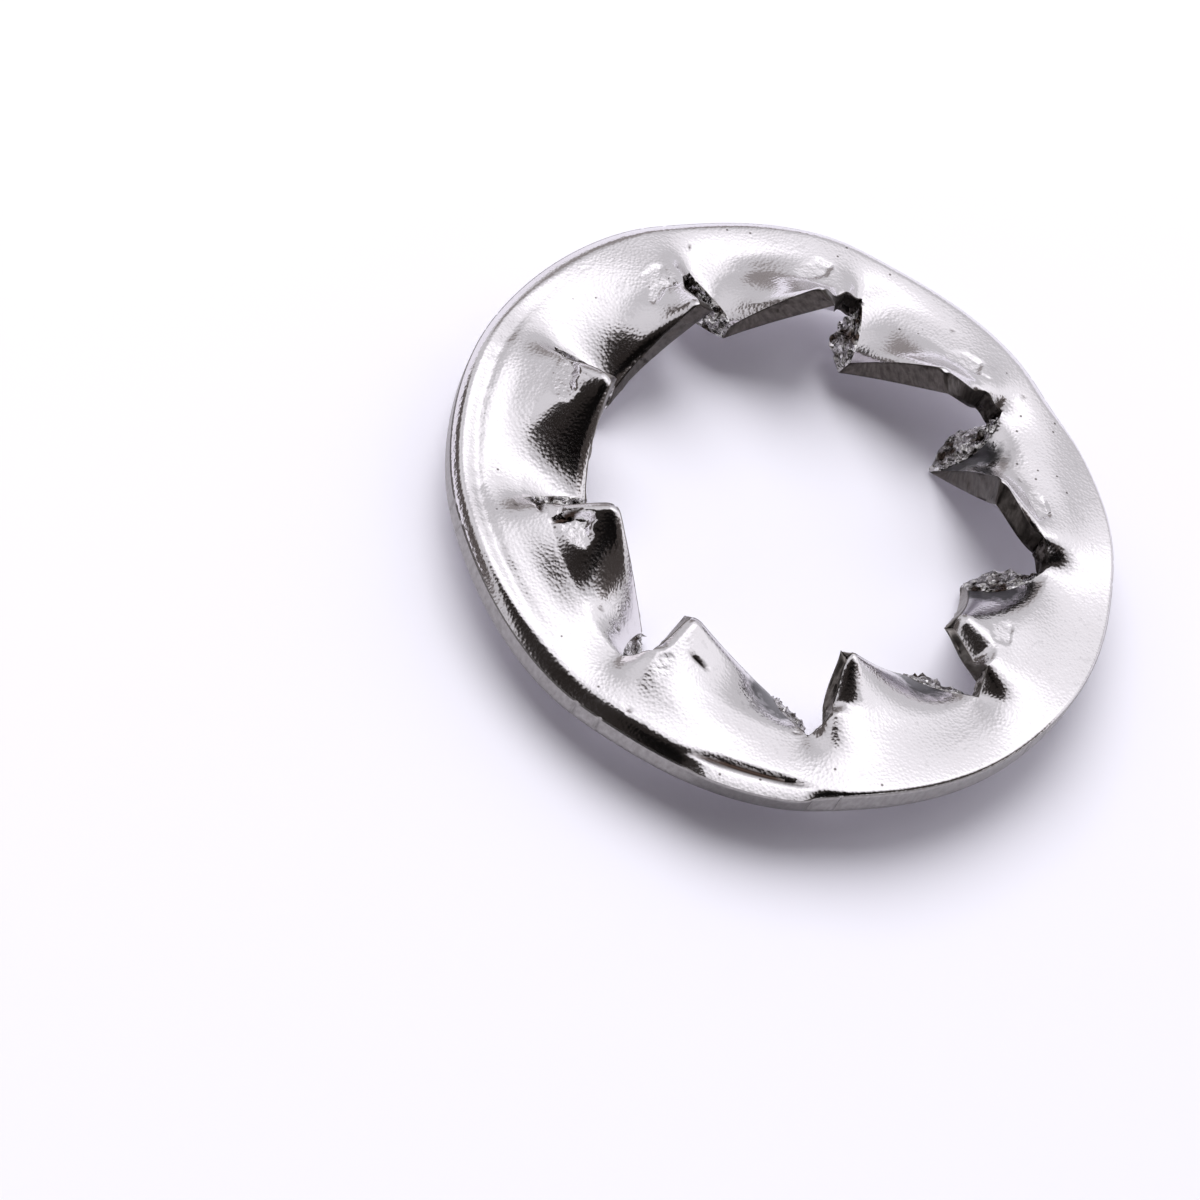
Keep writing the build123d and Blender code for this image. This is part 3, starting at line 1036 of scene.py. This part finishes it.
    def marks(self, points: Grid, upper: Grid) -> tuple[Grid, Grid, Grid]:
        """Works out what the flats and pits do to the upper surface.

        Args:
            points: the washer's points.
            upper: which are on the upper surface.

        Returns:
            For each point, its drop, how dark it is in a pit, as dirt and painted shade, and how
            far it was coined.
        """
        presses = [flat.press(points, upper) for flat in self.flats]
        shares = [pit.share(points) for pit in self.pits]
        pit_drop = sum(pit.depth * share for pit, share in zip(self.pits, shares))
        drop = sum(drop for drop, _ in presses) + np.where(upper, pit_drop, 0)
        pit_dirt_and_shade = np.where(upper, np.clip(sum(shares), 0, 1), 0)
        return drop, pit_dirt_and_shade, np.clip(sum(share for _, share in presses), 0, 1)

    def mesh(self) -> bpy.types.Object:
        """Builds the washer's mesh with its marks.

        Returns:
            The object, at the origin.
        """
        shell = Shell()
        for index in range(self.teeth):
            self.pitch_skins(shell, index)
        points, quads, skins, layout, upper, rub_and_shade = shell.welded()
        drop, pit_dirt_and_shade, coined = self.marks(points, upper)
        points[:, 2] -= drop
        data = bpy.data.meshes.new("washer_skin")
        data.from_pydata((points * MM).tolist(), [], quads.tolist())
        data.polygons.foreach_set("material_index", skins.astype(np.int32))
        data.polygons.foreach_set("use_smooth", np.ones(len(quads), bool))
        uvs = data.uv_layers.new(name="layout").data
        uvs.foreach_set("uv", layout.astype(np.float32).ravel())
        # The pit and lowered-side masks carry painted shade as well as dirt and wear.
        for name, values in (("pit_dirt_and_shade", pit_dirt_and_shade), ("rub_and_shade", rub_and_shade), ("coined", coined)):
            layer = data.attributes.new(name, "FLOAT", "POINT").data
            layer.foreach_set("value", values.astype(np.float32))
        for finish in (BrightNickel(), ShearedSteel(), TornSteel(), PUNCHED_STEEL, SHADED_PUNCHED_STEEL):
            data.materials.append(finish.material())
        data.update()
        data.validate()
        data.set_sharp_from_angle(angle=math.radians(SHARP_EDGE_DEGREES))
        piece = bpy.data.objects.new("stamped_washer", data)
        bpy.context.scene.collection.objects.link(piece)
        LOG.info("stamped_washer: %d points, %d quads", len(points), len(quads))
        return piece

    def dress(self) -> None:
        """Puts the detailed washer in the place of the frame's node."""
        piece = self.mesh()
        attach(piece, "root")
        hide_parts("washer")


@dataclass(frozen=True)
class Zone:
    """A soft-edged strip of the tent, along a great circle between two directions.

    Directions are azimuths anticlockwise from +X and elevations above the table.
    """

    start: Pair
    end: Pair
    inner: float
    outer: float
    strength: float

    @staticmethod
    def heading(way: Pair) -> Vector:
        """An azimuth and an elevation as a unit vector."""
        az, el = (math.radians(part) for part in way)
        return Vector((math.cos(el) * math.cos(az), math.cos(el) * math.sin(az), math.sin(el)))

    def level(self, tree: Any, way: Any) -> Any:
        """The strip's strength in each direction.

        The strength times a smooth step of the distance from the great circle, times another
        of the distance from the strip's middle.

        Args:
            tree: the world's nodes.
            way: the socket of the view direction.

        Returns:
            The socket of the strength.
        """
        start, end = self.heading(self.start), self.heading(self.end)
        reach = start.angle(end) / 2
        inner, outer = math.radians(self.inner), math.radians(self.outer)
        middle, pole = (start + end).normalized(), start.cross(end).normalized()
        along, off = (
            add_node(tree, "VectorMath", {
                0: way, 1: axis}, operation="DOT_PRODUCT").outputs["Value"]
            for axis in (middle, pole))
        size = add_node(tree, "Math", {0: off}, operation="ABSOLUTE")
        near = add_node(tree, "MapRange", {
            "Value": along, "From Min": math.cos(reach + outer),
            "From Max": math.cos(reach + inner), "To Max": self.strength},
            interpolation_type="SMOOTHSTEP")
        inside = add_node(tree, "MapRange", {
            "Value": size.outputs[0], "From Min": math.sin(inner), "From Max": math.sin(outer),
            "To Min": 1.0, "To Max": 0.0}, interpolation_type="SMOOTHSTEP")
        return add_node(tree, "Math", {
            0: near.outputs["Result"], 1: inside.outputs["Result"]},
            operation="MULTIPLY").outputs[0]


@dataclass
class Studio:
    """A pale table under a white tent, seen through a long lens."""

    eye: Triple = (0.3296, -42.6936, 52.7731)
    right: Triple = (0.86435421, 0.43443481, 0.25329467)
    down: Triple = (0.50064117, -0.69586342, -0.5149102)
    forward: Triple = (-0.04743642, 0.57187455, -0.81896843)
    focal_mm: float = 78.0
    sensor_mm: float = 36.0
    clip_m: Pair = (0.001, 10.0)
    table_mm: float = 2000.0
    table_tone: str = "#EFEDF6"
    table_roughness: float = 0.9
    table_gloss: float = 0.2
    lamp_place_m: Triple = (-0.12, 0.12, 0.28)
    lamp_size_m: float = 0.3
    lamp_watts: float = 0.95
    sky_tone: str = "#FBFAFF"
    dark_tone: str = "#D6C4BC"
    base: float = 0.72
    bright: tuple[Zone, ...] = (
        Zone((82, 50), (32, 30), 12, 27, 0.42),
        Zone((105, 66), (60, 60), 9, 22, 0.46),
        Zone((168, 40), (175, 58), 6, 22, 0.15),
    )
    dark: tuple[Zone, ...] = (
        Zone((-95, 56), (-72, 52), 31, 37, 0.95),
        Zone((-75, 50), (2, 28), 12, 19, 0.9),
        Zone((122, 20), (112, 3), 6, 15, 0.45),
        Zone((205, 14), (170, 10), 9, 16, 0.8),
    )

    def camera(self) -> None:
        """Sets up the camera: its axes are right, up and back."""
        data = bpy.data.cameras.new("camera")
        data.lens = self.focal_mm
        data.sensor_width = self.sensor_mm
        data.clip_start, data.clip_end = self.clip_m
        camera = bpy.data.objects.new("camera", data)
        axes = np.eye(4)
        up, back = np.negative(self.down), np.negative(self.forward)
        axes[:3] = np.transpose([self.right, up, back, np.multiply(self.eye, MM)])
        camera.matrix_world = Matrix(axes.tolist())
        bpy.context.scene.collection.objects.link(camera)
        bpy.context.scene.camera = camera

    def table(self) -> None:
        """Lays the table, of matt white paper, under the washer's lowest point."""
        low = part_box("washer")[0].z
        half = self.table_mm * MM / 2
        data = bpy.data.meshes.new("table")
        corners = [(-half, -half, low), (half, -half, low), (half, half, low), (-half, half, low)]
        data.from_pydata(corners, [], [(0, 1, 2, 3)])
        mat, tree = blank_material("matt_white_paper")
        shader = add_node(tree, "BsdfPrincipled", {
            "Base Color": hex_linear(self.table_tone), "Roughness": self.table_roughness,
            "Specular IOR Level": self.table_gloss})
        add_node(tree, "OutputMaterial", {"Surface": shader.outputs["BSDF"]})
        data.materials.append(mat)
        floor = bpy.data.objects.new("table", data)
        bpy.context.scene.collection.objects.link(floor)

    def tent(self) -> None:
        """Lights the tent: a grey-white sky with bright and dark zones.

        A bright zone adds its level to the base. A dark one keeps one minus its level of what is
        there, and warms its colour.
        """
        world = bpy.data.worlds.new("tent")
        bpy.context.scene.world = world
        world.use_nodes = True
        tree = world.node_tree
        tree.nodes.clear()
        way = add_node(tree, "TexCoord").outputs["Generated"]
        total, colour = self.base, hex_linear(self.sky_tone)
        for zone in self.bright:
            total = add_node(tree, "Math", {
                0: total, 1: zone.level(tree, way)}, operation="ADD").outputs[0]
        for zone in self.dark:
            level = zone.level(tree, way)
            keep = add_node(tree, "Math", {0: 1.0, 1: level}, operation="SUBTRACT")
            total = add_node(tree, "Math", {
                0: total, 1: keep.outputs[0]}, operation="MULTIPLY").outputs[0]
            colour = add_node(tree, "MixRGB", {
                "Fac": level, "Color1": colour, "Color2": hex_linear(self.dark_tone)}).outputs[0]
        back = add_node(tree, "Background", {"Color": colour, "Strength": total})
        add_node(tree, "OutputWorld", {"Surface": back.outputs[0]})

    def key_light(self) -> None:
        """Hangs a large soft lamp up and to the left, behind the washer. No gloss shows it."""
        data = bpy.data.lights.new("soft_lamp", "AREA")
        data.shape = "DISK"
        data.size = self.lamp_size_m
        data.energy = self.lamp_watts
        place = Vector(self.lamp_place_m)
        lamp = bpy.data.objects.new("soft_lamp", data)
        lamp.location = place
        lamp.rotation_euler = (-place).to_track_quat("-Z", "Y").to_euler()
        lamp.visible_glossy = False
        bpy.context.scene.collection.objects.link(lamp)

    def set_up(self) -> None:
        """Builds the camera, table, tent and lamp."""
        self.camera()
        self.table()
        self.tent()
        self.key_light()


def main() -> None:
    """Builds the washer and the studio."""
    logging.basicConfig(level=logging.INFO, format="%(message)s")
    bpy.context.scene.view_settings.view_transform = "Standard"
    Studio().set_up()
    Washer().dress()


if __name__ == "__main__":
    main()
